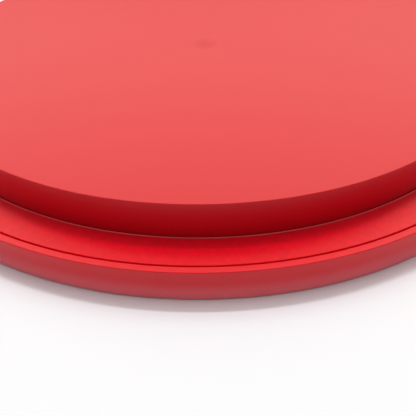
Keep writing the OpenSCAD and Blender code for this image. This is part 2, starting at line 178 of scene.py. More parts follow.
class Finish:
    """A material and the nodes that make it."""

    def __init__(self, name, colour, constants):
        self.material = bpy.data.materials.new(name)
        self.material.use_nodes = True
        self.material.diffuse_color = (*colour, 1)
        self.tree = self.material.node_tree
        self.shader = self.tree.nodes["Principled BSDF"]
        for socket, number in constants.items():
            self.shader.inputs[socket].default_value = number
        self.place = self.node("ShaderNodeTexCoord").outputs["Object"]

    def node(self, kind, settings=None, inputs=None):
        node = self.tree.nodes.new(kind)
        for key, setting in (settings or {}).items():
            setattr(node, key, setting)
        for key, value in (inputs or {}).items():
            self.feed(node.inputs[key], value)
        return node

    def feed(self, socket, value):
        if isinstance(value, Value):
            value = value.socket
        if isinstance(value, bpy.types.NodeSocket):
            self.tree.links.new(value, socket)
        else:
            socket.default_value = value

    def height(self):
        node = self.node("ShaderNodeSeparateXYZ", inputs={"Vector": self.place})
        return Value(self, node.outputs["Z"])

    def reach(self):
        """The distance from the mast's axis."""
        flat = self.node("ShaderNodeVectorMath", {"operation": "MULTIPLY"}, {0: self.place, 1: (1, 1, 0)})
        node = self.node("ShaderNodeVectorMath", {"operation": "LENGTH"}, {0: flat.outputs[0]})
        return Value(self, node.outputs["Value"])

    def grain(self, size, detail=2.0, stretch=(1, 1, 1)):
        """Cloudy noise with lumps of about that size in metres."""
        spread = self.node("ShaderNodeVectorMath", {"operation": "MULTIPLY"}, {0: self.place, 1: stretch})
        node = self.node("ShaderNodeTexNoise", {"noise_dimensions": "3D"},
                         {"Vector": spread.outputs[0], "Scale": 1 / size, "Detail": detail})
        return Value(self, node.outputs["Fac"])

    def cells(self, size):
        """Scattered cells of about that size in metres, each with a colour of its own."""
        return self.node("ShaderNodeTexVoronoi", {"feature": "F1"}, {"Vector": self.place, "Scale": 1 / size})

    def crystals(self, size):
        """One level for each cell."""
        return Value(self, self.cells(size).outputs["Color"])

    def specks(self, size, share):
        """1 in small round specks about size apart, with share of the cells speckled."""
        node = self.cells(size)
        pick = self.node("ShaderNodeSeparateColor", inputs={"Color": node.outputs["Color"]})
        chosen = Value(self, pick.outputs[0]).step(1 - share, 1.02 - share)
        return (1 - Value(self, node.outputs["Distance"]).step(0.05, 0.22)) * chosen

    def mix(self, share, first, second):
        node = self.node("ShaderNodeMix", {"data_type": "RGBA"})
        self.feed(node.inputs[MIX_FACTOR], share)
        for place, colour in ((MIX_FIRST, first), (MIX_SECOND, second)):
            self.feed(node.inputs[place], (*colour, 1) if isinstance(colour, tuple) else colour)
        return node.outputs[MIX_RESULT]

    def paint(self, colour=None, roughness=None):
        if colour is not None:
            self.feed(self.shader.inputs["Base Color"], colour)
        if roughness is not None:
            self.feed(self.shader.inputs["Roughness"], roughness)
        return self

    def bump(self, height, depth, strength=1.0):
        """Raises the surface by up to depth metres where height is 1."""
        node = self.node("ShaderNodeBump", inputs={"Height": height, "Distance": depth, "Strength": strength})
        self.feed(self.shader.inputs["Normal"], node.outputs[0])
        return self


def shade(colour, by):
    return tuple(channel * by for channel in colour)


RED = (0.690, 0.0010, 0.0105)
SATIN = {"IOR": 1.45}
SOFT_GLOW = {"Subsurface Weight": 0.35, "Subsurface Scale": 6 * MM, "Subsurface Radius": (1, 0.05, 0.05)}


def moulded(f):
    """The slight unevenness of a moulded face."""
    return f.bump(f.grain(0.8 * MM, 2), 0.003 * MM, 0.3)


def canopy_plastic():
    """Satin red, with a little dust low on the skirt and a duller mark in the middle of the top, darkened
    with painted shade of its dish and pit.
    """
    f = Finish("red_satin_canopy", RED, SATIN)
    cloud = f.grain(90 * MM)
    base = f.mix(cloud * 0.5, shade(RED, 0.99), shade(RED, 0.91))
    dust = f.specks(4.5 * MM, 0.10) * (1 - f.height().step(34 * MM, 44 * MM)) * 0.22
    swirl = f.grain(3 * MM, 3)
    # painted shade of the moulded dish and its pit: darker red in the middle of the top; the same mask also
    # makes the mark duller
    mark_and_painted_shade = (1 - f.reach().step(7 * MM, 15 * MM)) * 0.35 + (1 - f.reach().step(0.8 * MM, 2.4 * MM)) * 0.65
    base = f.mix(mark_and_painted_shade, base, shade(RED, 0.78))
    f.paint(f.mix(dust, base, (0.86, 0.20, 0.20)), 0.30 + swirl * 0.02 + mark_and_painted_shade * 0.10)
    return moulded(f)


def tub_plastic():
    """Satin red, rubbed in places, and paler towards the foot of the wall with painted light reflected from
    the floor.
    """
    f = Finish("red_satin_tub", RED, SATIN)
    cloud = f.grain(70 * MM)
    base = f.mix(cloud * 0.5, shade(RED, 1.17), shade(RED, 1.07))
    wear = f.grain(9 * MM, 4).step(0.56, 0.76)
    # painted reflection: the foot of the wall is mixed towards a pale pink as if lit by the bright floor
    foot = 1 - f.height().step(2 * MM, 17 * MM)
    f.paint(f.mix(wear * 0.05 + foot * 0.65, base, (0.98, 0.22, 0.26)), 0.32 + wear * 0.04)
    return moulded(f)


def deck_plastic():
    """Grained red that glows a little from within, with a painted highlight along the lip at its inner edge.
    """
    f = Finish("red_grained_deck", RED, SATIN | SOFT_GLOW)
    pebbles = f.grain(1.0 * MM, 3)
    blotch = f.grain(5.5 * MM, 3)
    base = f.mix(blotch.step(0.38, 0.66) * 0.4 + pebbles.step(0.40, 0.62) * 0.6,
                 shade(RED, 1.06), shade(RED, 1.28))
    lip_end = CANOPY_R + SEAM_GAP + DECK_LIP_W
    # painted highlight: the inner lip is mixed towards a paler red, as if it catches the light
    painted_lip_highlight = 1 - f.reach().step(lip_end, lip_end + 0.6 * MM)
    f.paint(f.mix(painted_lip_highlight * 0.8, base, (1.0, 0.14, 0.15)), 0.30 + blotch * 0.03)
    return f.bump(pebbles, 0.010 * MM, 0.5)


def mast_plastic():
    red = shade(RED, 0.86)
    f = Finish("red_mast", red, {"IOR": 1.47})
    rings = f.grain(2.4 * MM, 2, (0.05, 0.05, 1))
    f.paint(f.mix(rings * 0.6, shade(red, 1.08), shade(red, 0.86)), 0.26 + rings * 0.10)
    return f.bump(rings + f.grain(0.8 * MM, 2) * 0.5, 0.008 * MM, 0.5)


def nylon():
    f = Finish("black_nylon", (0.020, 0.020, 0.022), {"IOR": 1.5})
    fine = f.grain(0.35 * MM, 3)
    wear = f.grain(4 * MM, 4).step(0.55, 0.78)
    f.paint(f.mix(wear * 0.4, (0.017, 0.017, 0.019), (0.045, 0.045, 0.048)), 0.42 + fine * 0.16)
    return f.bump(fine, 0.03 * MM, 0.6)


def zinc():
    f = Finish("zinc_plate", (0.60, 0.61, 0.62), {"Metallic": 1.0})
    haze = f.grain(3.5 * MM, 4)
    fine = f.grain(0.3 * MM, 3)
    f.paint(f.mix(haze.step(0.3, 0.7), (0.50, 0.52, 0.56), (0.70, 0.68, 0.60)), 0.24 + haze * 0.18)
    return f.bump(fine, 0.01 * MM, 0.5)


def chain_steel():
    f = Finish("galvanised_steel", (0.62, 0.63, 0.64), {"Metallic": 1.0})
    spangle = f.crystals(2.2 * MM)
    haze = f.grain(6 * MM, 3)
    f.paint(f.mix(spangle, (0.50, 0.51, 0.53), (0.74, 0.75, 0.76)), 0.24 + spangle * 0.14 + haze * 0.08)
    return f.bump(f.grain(0.5 * MM, 3), 0.015 * MM, 0.5)


def rubber(name, colour, size):
    f = Finish(name, colour, {"IOR": 1.5})
    fine = f.grain(size, 3)
    dusty = f.grain(size * 14, 4).step(0.45, 0.8)
    f.paint(f.mix(dusty * 0.5, shade(colour, 0.85), shade(colour, 1.9)), 0.62 + fine * 0.2)
    return f.bump(fine, 0.05 * MM, 0.8)


def floor_white():
    f = Finish("white_floor", (0.90, 0.90, 0.90), {})
    cloud = f.grain(250 * MM, 3)
    f.paint(f.mix(cloud, (0.915, 0.920, 0.940), (0.900, 0.906, 0.930)), 0.55 + cloud * 0.1)
    return f


FINISHES = {
    "canopy_plastic": canopy_plastic(),
    "tub_plastic": tub_plastic(),
    "deck_plastic": deck_plastic(),
    "mast_plastic": mast_plastic(),
    "nylon": nylon(),
    "zinc": zinc(),
    "chain_steel": chain_steel(),
    "foot_rubber": rubber("foot_rubber", (0.022, 0.022, 0.024), 0.5 * MM),
    "grip_rubber": rubber("grip_rubber", (0.026, 0.026, 0.028), 0.4 * MM),
}


# ---------- shapes ----------

def rounded(corners):
    """A closed outline from corners (across, up) or (across, up, radius), with arcs and flats."""
    outline = []
    count = len(corners)
    for i, corner in enumerate(corners):
        here = Vector(corner[:2])
        radius = corner[2] if len(corner) > 2 else 0
        if not radius:
            outline.append(tuple(here))
            continue
        before = Vector(corners[i - 1][:2]) - here
        after = Vector(corners[(i + 1) % count][:2]) - here
        half = before.angle(after) / 2
        run = radius / math.tan(half)
        guard = min(run * 1.6, 0.45 * min(before.length, after.length))
        before.normalize()
        after.normalize()
        centre = here + (before + after).normalized() * (radius / math.sin(half))
        start, end = here + before * run - centre, here + after * run - centre
        turn = start.angle_signed(end)
        steps = max(2, math.ceil(abs(turn) / math.radians(15)))
        if guard > run:
            outline.append(tuple(here + before * guard))
        for k in range(steps + 1):
            a = -turn * k / steps
            point = centre + Matrix.Rotation(a, 2) @ start
            outline.append(tuple(point))
        if guard > run:
            outline.append(tuple(here + after * guard))
    return outline


def circle(radius, across=0.0, up=0.0, sides=20):
    return [(across + radius * math.cos(FULL_TURN * k / sides), up + radius * math.sin(FULL_TURN * k / sides))
            for k in range(sides)]


def turned(into, outline, place=Matrix(), segments=48, swell=None):
    """Adds a solid turned about its own Z from a closed outline of (radius, height)."""
    rings = []
    for radius, height in outline:
        if radius < 0.001 * MM:
            rings.append([into.verts.new(place @ Vector((0, 0, height)))] * segments)
            continue
        ring = []
        for k in range(segments):
            a = FULL_TURN * k / segments
            r = radius * (swell(a, radius, height) if swell else 1)
            ring.append(into.verts.new(place @ Vector((r * math.cos(a), r * math.sin(a), height))))
        rings.append(ring)
    for lower, upper in zip(rings, rings[1:] + rings[:1]):
        if lower[0] is lower[1] and upper[0] is upper[1]:
            continue
        for k in range(segments):
            j = (k + 1) % segments
            into.faces.new(dict.fromkeys((lower[k], lower[j], upper[j], upper[k])))


def rod(into, radius, start, end, place=Matrix(), segments=32):
    turned(into, [(0, start), (radius, start), (radius, end), (0, end)], place, segments)


def block(into, lowest, highest, place=Matrix()):
    middle = (Vector(lowest) + Vector(highest)) / 2
    size = Vector(highest) - Vector(lowest)
    fit = Matrix.Translation(middle) @ Matrix.Diagonal((*size, 1))
    bmesh.ops.create_cube(into, size=1, matrix=place @ fit)


def swept(into, path, radius, sides=12, closed=False):
    """Adds a round wire along a path of points."""
    count = len(path)
    rings = []
    normal = None
    for i, point in enumerate(path):
        ahead = path[(i + 1) % count] if closed or i < count - 1 else point
        behind = path[i - 1] if closed or i else point
        along = (ahead - behind).normalized()
        if normal is None:
            normal = along.orthogonal().normalized()
        normal = (normal - along * normal.dot(along)).normalized()
        side = along.cross(normal)
        rings.append([into.verts.new(point + radius * (normal * math.cos(a) + side * math.sin(a)))
                      for a in (FULL_TURN * k / sides for k in range(sides))])
    pairs = list(zip(rings, rings[1:]))
    if closed:
        shift = min(range(sides), key=lambda s: (rings[0][s].co - rings[-1][0].co).length)
        pairs.append((rings[-1], rings[0][shift:] + rings[0][:shift]))
    for first, second in pairs:
        for k in range(sides):
            j = (k + 1) % sides
            into.faces.new((first[k], first[j], second[j], second[k]))
    if not closed:
        into.faces.new(rings[0][::-1])
        into.faces.new(rings[-1])


def at(x, y, z=0.0):
    return Matrix.Translation((x, y, z))


SIDEWAYS = Matrix.Rotation(math.radians(90), 4, "Y")
UPSIDE_DOWN = Matrix.Rotation(math.pi, 4, "X")


def both_sides(place):
    return [place, Matrix.Rotation(math.pi, 4, "Z") @ place]


def around(count, turn=0.0, radius=0.0):
    """Places spread evenly about the mast's axis."""
    return [Matrix.Rotation(math.radians(turn + 360 * k / count), 4, "Z") @ Matrix.Translation((radius, 0, 0))
            for k in range(count)]


def stamp(into, shape, places):
    """Adds a copy of a finished shape at each place."""
    mesh = bpy.data.meshes.new("stamp")
    shape.to_mesh(mesh)
    for place in places:
        copy = mesh.copy()
        copy.transform(place)
        into.from_mesh(copy)
        bpy.data.meshes.remove(copy)
    bpy.data.meshes.remove(mesh)


def joined(shape, other, operation="DIFFERENCE"):
    """The shape with another one cut out of it or added to it."""
    objects = []
    for part in (shape, other):
        bmesh.ops.recalc_face_normals(part, faces=part.faces)
        mesh = bpy.data.meshes.new("working")
        part.to_mesh(mesh)
        part.free()
        objects.append(bpy.data.objects.new("working", mesh))
        bpy.context.scene.collection.objects.link(objects[-1])
    body, tool = objects
    modifier = body.modifiers.new("cut", "BOOLEAN")
    modifier.operation, modifier.object, modifier.solver = operation, tool, "EXACT"
    bpy.context.view_layer.update()
    done = bpy.data.meshes.new_from_object(body.evaluated_get(bpy.context.evaluated_depsgraph_get()))
    result = bmesh.new()
    result.from_mesh(done)
    for mesh in (body.data, tool.data, done):
        bpy.data.meshes.remove(mesh)
    return result


def bevelled(shape, width, segments=2, angle=40):
    """The shape with its sharp edges rounded."""
    bmesh.ops.recalc_face_normals(shape, faces=shape.faces)
    sharp = [e for e in shape.edges if e.is_manifold and e.calc_face_angle(0) > math.radians(angle)]
    bmesh.ops.bevel(shape, geom=sharp, offset=width, segments=segments, affect="EDGES", profile=0.5,
                    clamp_overlap=True)
    return shape


def piece(name, shape, slot, body, *nodes, smooth=32):
    """Makes a shape into a piece that rides on a body and stands for CAD nodes."""
    bmesh.ops.recalc_face_normals(shape, faces=shape.faces)
    mesh = bpy.data.meshes.new(name)
    shape.to_mesh(mesh)
    shape.free()
    mesh.shade_smooth()
    mesh.set_sharp_from_angle(angle=math.radians(smooth))
    obj = bpy.data.objects.new(name, mesh)
    bpy.context.scene.collection.objects.link(obj)
    mesh.materials.append(FINISHES[slot].material)
    if nodes:
        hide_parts(*nodes)
    if body:
        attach(obj, body)
    return obj


# ---------- camera ----------

CAMERA_AT = (0, -636.9 * MM, 328.7 * MM)
CAMERA_DOWN = 37.51
CAMERA_ROLL = -1.01
camera = bpy.data.objects.new("camera", bpy.data.cameras.new("camera"))
camera.data.sensor_width = 36
camera.data.lens = 56.13
camera.data.shift_x = 0.00175
camera.matrix_world = (Matrix.Translation(CAMERA_AT)
                       @ Matrix.Rotation(math.radians(90 - CAMERA_DOWN), 4, "X")
                       @ Matrix.Rotation(math.radians(CAMERA_ROLL), 4, "Z"))
bpy.context.scene.collection.objects.link(camera)
bpy.context.scene.camera = camera


# ---------- tub ----------

def screw_axes(node):
    """The axis of each screw or rivet of a node, as (x, y) with its lowest and highest point."""
    return [((lo.x + hi.x) / 2, (lo.y + hi.y) / 2, lo.z, hi.z) for lo, hi in solids_of(node)]


DECK_SCREWS = screw_axes("deck_screws")
FOOT_SCREWS = screw_axes("foot_screws")
SOCKET_RIVETS = screw_axes("socket_rivets")
POST_SCREWS = screw_axes("post_screws")
GUIDE_SCREWS = screw_axes("guide_screws")
BRACKET_RIVETS = [(lo + hi) / 2 for lo, hi in solids_of("bracket_rivets")]
STAKE_PLACES = around(4, 45, 260 * MM)
COUNTERBORE_R = 4.4 * MM
SCREW_R = 2 * MM
SMALL_SCREW_R = 1.5 * MM
RIVET_R = 2.4 * MM


def outwards(point):
    """A place whose Z points away from the mast through that point, on the tub's wall."""
    a = math.atan2(point.y, point.x)
    return (Matrix.Translation((TUB_R * math.cos(a), TUB_R * math.sin(a), point.z))
            @ Matrix.Rotation(a, 4, "Z") @ SIDEWAYS)


def tub():
    swage = 0.45 * MM
    in_r = TUB_R - TUB_WALL
    swages = []
    for middle in (235 * MM, 205 * MM, 160 * MM, 130 * MM):
        for across, up in ((5, 0), (3.4, 1), (-3.4, 1), (-5, 0)):
            swages.append((middle + across * MM, TRAY_Z + up * swage, 1.5 * MM))
    outline = rounded([
        (0, FLOOR_Z), (in_r, FLOOR_Z, 0.6 * MM),
        (in_r, WALL_FOOT_Z, 0.6 * MM), (TUB_R, WALL_FOOT_Z, CORNER_R),
        (TUB_R, RIM_Z, 0.6 * MM), (TUB_R - LIP_W, RIM_Z, 0.5 * MM),
        (TUB_R - LIP_W, DECK_Z, 0.25 * MM), (TUB_R - LIP_W - SHELF_W, DECK_Z, 0.4 * MM),
        (TUB_R - LIP_W - SHELF_W, DECK_Z - SHELF_T, 0.4 * MM), (in_r, DECK_Z - SHELF_T, 0.8 * MM),
        (in_r, TRAY_Z, 2.4 * MM), *swages, (0, TRAY_Z)])
    shape = bmesh.new()
    turned(shape, outline, segments=FINE_TURN)
    posts = bmesh.new()
    for x, y, lowest, highest in DECK_SCREWS:
        turned(posts, rounded([(0, TRAY_Z - MM), (6.4 * MM, TRAY_Z - MM), (5.2 * MM, TRAY_Z + 2 * MM, MM),
                               (5.2 * MM, DECK_Z - SHELF_T / 2), (0, DECK_Z - SHELF_T / 2)]), at(x, y))
    for x, y, lowest, highest in FOOT_SCREWS:
        turned(posts, rounded([(0, TRAY_Z - MM), (5 * MM, TRAY_Z - MM), (5 * MM, TRAY_Z + 4 * MM, 0.6 * MM),
                               (0, TRAY_Z + 4 * MM)]), at(x, y))
    shape = joined(shape, posts, "UNION")
    holes = bmesh.new()
    for x, y, lowest, highest in DECK_SCREWS:
        rod(holes, COUNTERBORE_R, FLOOR_Z - MM, FLOOR_Z + 3 * MM, at(x, y))
        rod(holes, SCREW_R + FIT, FLOOR_Z + 2 * MM, RIM_Z, at(x, y))
    for x, y, lowest, highest in FOOT_SCREWS:
        rod(holes, SMALL_SCREW_R + FIT, FLOOR_Z - MM, highest + 0.2 * MM, at(x, y))
    for x, y, lowest, highest in SOCKET_RIVETS:
        rod(holes, RIVET_R + FIT, FLOOR_Z - MM, TRAY_Z + MM, at(x, y))
    for place in STAKE_PLACES:
        turned(holes, [(0, FLOOR_Z - MM), (4.5 * MM, FLOOR_Z - MM), (4.5 * MM, TRAY_Z - 0.6 * MM),
                       (5.6 * MM, TRAY_Z + 0.5 * MM), (0, TRAY_Z + 0.5 * MM)], place)
    for point in BRACKET_RIVETS:
        rod(holes, RIVET_R + FIT, -10 * MM, 10 * MM, outwards(point))
    return joined(shape, holes)


piece("tub", tub(), "tub_plastic", "base", "base_tub")


def deck():
    in_r = CANOPY_R + SEAM_GAP
    shape = bmesh.new()
    lip_z = high("deck_ring").z
    turned(shape, rounded([(in_r, DECK_Z, 0.3 * MM), (DECK_R, DECK_Z, 0.3 * MM), (DECK_R, RIM_Z, 0.55 * MM),
                           (in_r + 1.6 * DECK_LIP_W, RIM_Z), (in_r + DECK_LIP_W, lip_z, 0.2 * MM),
                           (in_r, lip_z, 0.15 * MM)]), segments=FINE_TURN)
    holes = bmesh.new()
    for x, y, lowest, highest in DECK_SCREWS:
        rod(holes, SCREW_R + FIT, DECK_Z - MM, highest + 0.2 * MM, at(x, y))
    return joined(shape, holes)


piece("deck", deck(), "deck_plastic", "base", "deck_ring")


# ---------- canopy ----------

RIB_T = 2.4 * MM
RIB_H = 3 * MM
HUB_R = POST_FLANGE_R + 3 * MM
BOLT_Z = (low("lock_bolt_right").z + high("lock_bolt_right").z) / 2
BOLT_R = high("lock_bolt_right").y


def canopy():
    ceiling = TOP_Z - PLATE_T
    in_r = CANOPY_R - PLATE_T
    top = [(r * MM, TOP_Z) for r in (250, 240, 200, 150, 100, 60, 30, 24)]
    fine = 0.4 * MM
    rings = int(20 * MM / fine)
    top += [((rings - k) * fine, TOP_Z) for k in range(rings + 1)]     # close rings for the mark
    outline = rounded([
        (in_r, SKIRT_Z, 0.6 * MM), (CANOPY_R, SKIRT_Z, 0.9 * MM), (CANOPY_R, TOP_Z, EDGE_R), *top,
        (0, HUB_Z), (HUB_R, HUB_Z, 0.5 * MM), (HUB_R, ceiling, 0.8 * MM), (in_r, ceiling, 1.6 * MM)])
    shape = bmesh.new()
    turned(shape, outline, segments=FINE_TURN)
    for vertex in shape.verts:
        away = math.hypot(vertex.co.x, vertex.co.y)
        if away < MARK_R and vertex.co.z > TOP_Z - 0.1 * MM:
            dish = (1 - (away / MARK_R) ** 2) ** 1.5
            pit = math.exp(-(away / PIT_R) ** 2)
            vertex.co.z -= MARK_DEPTH * (0.65 * dish + 0.35 * pit)
    ribs = bmesh.new()
    for place in around(12, 15):
        block(ribs, (HUB_R - MM, -RIB_T / 2, ceiling - RIB_H),
              (in_r + PLATE_T / 2, RIB_T / 2, ceiling + MM), place)
    shape = joined(shape, bevelled(ribs, 0.4 * MM), "UNION")
    holes = bmesh.new()
    for place in both_sides(at(in_r, 0, BOLT_Z) @ SIDEWAYS):
        rod(holes, BOLT_R + 0.25 * MM, -2 * MM, PLATE_T + 2 * MM, place, 48)
    for x, y, lowest, highest in POST_SCREWS:
        rod(holes, SCREW_R + FIT, HUB_Z - MM, highest + 0.2 * MM, at(x, y))
    return joined(shape, holes)


piece("canopy_drum", canopy(), "canopy_plastic", "canopy", "canopy_shell", smooth=28)


# ---------- mast ----------

SLEEVES = sorted(n for n in frame["nodes"] if n.startswith("mast_sleeve_"))
MAST_Z = low(SLEEVES[0]).z
MAST_TOP_Z = high(SLEEVES[0]).z


def sleeve(node):
    r = high(node).x - BEAD_W
    in_r = r - SLEEVE_WALL
    small = 0.35 * MM
    shape = bmesh.new()
    turned(shape, rounded([
        (in_r, MAST_Z, small), (r + BEAD_W, MAST_Z, 0.5 * MM), (r + BEAD_W, MAST_Z + BEAD_H, 0.6 * MM),
        (r, MAST_Z + BEAD_H, small), (r, MAST_TOP_Z, 0.6 * MM), (in_r - BEAD_W, MAST_TOP_Z, 0.5 * MM),
        (in_r - BEAD_W, MAST_TOP_Z - COLLAR_H, 0.5 * MM), (in_r, MAST_TOP_Z - COLLAR_H, small)]),
        segments=MAST_TURN)
    return shape


for number, node in enumerate(SLEEVES, 1):
    piece(f"sleeve_{number:02d}", sleeve(node), "mast_plastic", f"sleeve_{number:02d}", node)


def socket():
    outer = high("mast_socket").x
    in_r = high(SLEEVES[0]).x + SOCKET_GAP
    r = in_r + SOCKET_WALL
    flange = TRAY_Z + FLANGE_T
    shape = bmesh.new()
    turned(shape, rounded([
        (0, TRAY_Z), (outer, TRAY_Z, 0.3 * MM), (outer, flange, 1.2 * MM), (r, flange, 2 * MM),
        (r, MAST_TOP_Z, 0.8 * MM), (in_r - BEAD_W, MAST_TOP_Z, 0.5 * MM),
        (in_r - BEAD_W, MAST_TOP_Z - COLLAR_H, 0.5 * MM), (in_r, MAST_TOP_Z - COLLAR_H, 0.3 * MM),
        (in_r, flange, 0.8 * MM), (0, flange)]), segments=MAST_TURN)
    holes = bmesh.new()
    for x, y, lowest, highest in SOCKET_RIVETS:
        rod(holes, RIVET_R + FIT, TRAY_Z - MM, flange + MM, at(x, y))
    return joined(shape, holes)


piece("mast_foot_socket", socket(), "mast_plastic", "base", "mast_socket")


def post():
    r = high(SLEEVES[-1]).x - BEAD_W - SLEEVE_STEP
    in_r = r - SLEEVE_WALL
    flange = HUB_Z - FLANGE_T
    shape = bmesh.new()
    turned(shape, rounded([
        (in_r, MAST_Z, 0.35 * MM), (r + BEAD_W, MAST_Z, 0.5 * MM), (r + BEAD_W, MAST_Z + BEAD_H, 0.6 * MM),
        (r, MAST_Z + BEAD_H, 0.35 * MM), (r, flange, 0.5 * MM), (POST_FLANGE_R, flange, 1.2 * MM),
        (POST_FLANGE_R, HUB_Z, 0.3 * MM), (in_r, HUB_Z, 0.3 * MM)]), segments=MAST_TURN)
    holes = bmesh.new()
    for x, y, lowest, highest in POST_SCREWS:
        rod(holes, SCREW_R + FIT, flange - MM, HUB_Z + MM, at(x, y))
    return joined(shape, holes)


piece("post", post(), "mast_plastic", "canopy", "canopy_post")


# ---------- screws and rivets ----------

def screw(head_r, head_h, shank_r, length):
    """A hexagon-socket screw: its head stands up from zero and its shank goes down."""
    shape = bmesh.new()
    turned(shape, rounded([(0, -length), (shank_r - 0.3 * MM, -length), (shank_r, -length + 0.4 * MM),
                           (shank_r, 0), (head_r, 0, 0.2 * MM), (head_r, head_h, head_h * 0.45),
                           (0, head_h)]), segments=40)
    key = bmesh.new()
    turned(key, [(0, head_h * 0.42), (head_r * 0.5, head_h * 0.42),
                 (head_r * 0.5, head_h + MM), (0, head_h + MM)], segments=6)
    return joined(shape, key)


RIVET_HEAD_R, RIVET_HEAD_H = 4.2 * MM, 1.5 * MM
RIVET_TAIL_R, RIVET_TAIL_H = 3.4 * MM, 1.2 * MM


def rivet(grip):
    """A domed rivet: its head stands up from zero and its tail closes below grip."""
    dome = [(RIVET_HEAD_R * math.cos(a), RIVET_HEAD_H * math.sin(a))
            for a in (math.radians(9 * k) for k in range(10))]
    end = -grip - RIVET_TAIL_H
    shape = bmesh.new()
    turned(shape, [(0, end), (RIVET_TAIL_R * 0.8, end), (RIVET_TAIL_R, -grip - RIVET_TAIL_H * 0.6),
                   (RIVET_TAIL_R, -grip), (RIVET_R, -grip), (RIVET_R, 0), *dome, (0, RIVET_HEAD_H)],
           segments=40)
    return shape


def fixings(name, shape, places, body, node):
    into = bmesh.new()
    stamp(into, shape, places)
    shape.free()
    piece(name, into, "zinc", body, node)


HEAD_R, HEAD_H = 3.9 * MM, 2.6 * MM
SMALL_HEAD_R, SMALL_HEAD_H = 2.9 * MM, 1.6 * MM


def screws_from_below(name, axes, head_r, head_h, shank_r, body, node):
    length = axes[0][3] - axes[0][2] - head_h
    places = [at(x, y, lowest + head_h) @ UPSIDE_DOWN for x, y, lowest, highest in axes]
    fixings(name, screw(head_r, head_h, shank_r, length), places, body, node)


screws_from_below("deck_fixings", DECK_SCREWS, HEAD_R, HEAD_H, SCREW_R, "base", "deck_screws")
screws_from_below("foot_fixings", FOOT_SCREWS, SMALL_HEAD_R, SMALL_HEAD_H, SMALL_SCREW_R, "base",
                  "foot_screws")
screws_from_below("post_fixings", POST_SCREWS, HEAD_R, HEAD_H, SCREW_R, "canopy", "post_screws")
fixings("guide_fixings", screw(SMALL_HEAD_R, SMALL_HEAD_H, SMALL_SCREW_R, 16 * MM),
        [at(x, y, highest - SMALL_HEAD_H) for x, y, lowest, highest in GUIDE_SCREWS], "base", "guide_screws")
fixings("socket_fixings", rivet(6 * MM),
        [at(x, y, highest - RIVET_HEAD_H) for x, y, lowest, highest in SOCKET_RIVETS],
        "base", "socket_rivets")
fixings("bracket_fixings", rivet(7.4 * MM),
        [outwards(point) @ at(0, 0, 4 * MM) for point in BRACKET_RIVETS], "base", "bracket_rivets")


# ---------- feet and pads ----------

def feet():
    into = bmesh.new()
    foot_h = high("edge_feet").z
    for x, y, lowest, highest in FOOT_SCREWS:
        turned(into, rounded([
            (SMALL_SCREW_R + FIT, 2.2 * MM), (3.2 * MM, 2.2 * MM), (3.2 * MM, 0, 0.3 * MM),
            (6.4 * MM, 0, 0.3 * MM), (6.8 * MM, 0.5 * MM, 0.2 * MM), (7.6 * MM, 0.5 * MM, 0.2 * MM),
            (8 * MM, 0, 0.3 * MM), (10.6 * MM, 0, 0.8 * MM),
            (11 * MM, foot_h, 0.4 * MM), (SMALL_SCREW_R + FIT, foot_h)]),
            at(x, y), 56)
    return into


piece("rim_feet", feet(), "foot_rubber", "base", "edge_feet")


def middle_foot():
    foot_h = high("centre_foot").z
    foot_r = high("centre_foot").x
    corners = [(0, foot_h), (0, 0)]
    for ring in (12, 20, 28, 36):
        for across, up in ((-0.8, 0), (-0.4, 0.6), (0.4, 0.6), (0.8, 0)):
            corners.append(((ring + across) * MM, up * MM, 0.2 * MM))
    corners += [(foot_r - 0.4 * MM, 0, 0.8 * MM), (foot_r, foot_h, 0.4 * MM)]
    into = bmesh.new()
    turned(into, rounded(corners), segments=96)
    return into


piece("middle_foot", middle_foot(), "foot_rubber", "base", "centre_foot")


def pads():
    into = bmesh.new()
    for lo, hi in solids_of("canopy_pads"):
        r = (hi.x - lo.x) / 2
        turned(into, rounded([(0, lo.z), (r, lo.z, 0.2 * MM), (r, hi.z - 0.4 * MM, 0.3 * MM),
                              (r - 0.8 * MM, hi.z, 0.5 * MM), (0, hi.z)]),
               at((lo.x + hi.x) / 2, (lo.y + hi.y) / 2), 40)
    return into


piece("rest_pads", pads(), "foot_rubber", "base", "canopy_pads")


# ---------- chain gear ----------

ANCHOR_Z = (low("chain_anchor_ring").z + high("chain_anchor_ring").z) / 2
ANCHOR_WIRE = (high("chain_anchor_ring").z - low("chain_anchor_ring").z) / 2
ANCHOR_R = high("chain_anchor_ring").x - ANCHOR_WIRE
HOOP_Z = (low("outer_hoop").z + high("outer_hoop").z) / 2
HOOP_WIRE = (high("outer_hoop").z - low("outer_hoop").z) / 2
HOOP_R = high("outer_hoop").x - HOOP_WIRE
INNER_HOOP_R = high("inner_hoop").x - HOOP_WIRE


def hoop(name, radius, wire, height, body, node, weld_turn):
    """A ring of wire that is drawn in a little where its ends are welded."""
    weld = math.radians(weld_turn)
    neck = 0.07
    into = bmesh.new()
    turned(into, circle(wire, radius, height), segments=FINE_TURN)
    for vertex in into.verts:
        a = math.atan2(vertex.co.y, vertex.co.x)
        off = abs((a - weld + math.pi) % FULL_TURN - math.pi) * radius
        if off < wire:
            middle = Vector((radius * math.cos(a), radius * math.sin(a), height))
            drawn_in = -neck * math.cos(math.pi * off / wire) - neck
            vertex.co = middle + (vertex.co - middle) * (1 + drawn_in)
    piece(name, into, "chain_steel", body, node)


hoop("outer_chain_hoop", HOOP_R, HOOP_WIRE, HOOP_Z, "canopy", "outer_hoop", 3.7)
hoop("inner_chain_hoop", INNER_HOOP_R, HOOP_WIRE, HOOP_Z, "canopy", "inner_hoop", 8)
hoop("anchor_hoop", ANCHOR_R, ANCHOR_WIRE, ANCHOR_Z, "base", "chain_anchor_ring", 37)


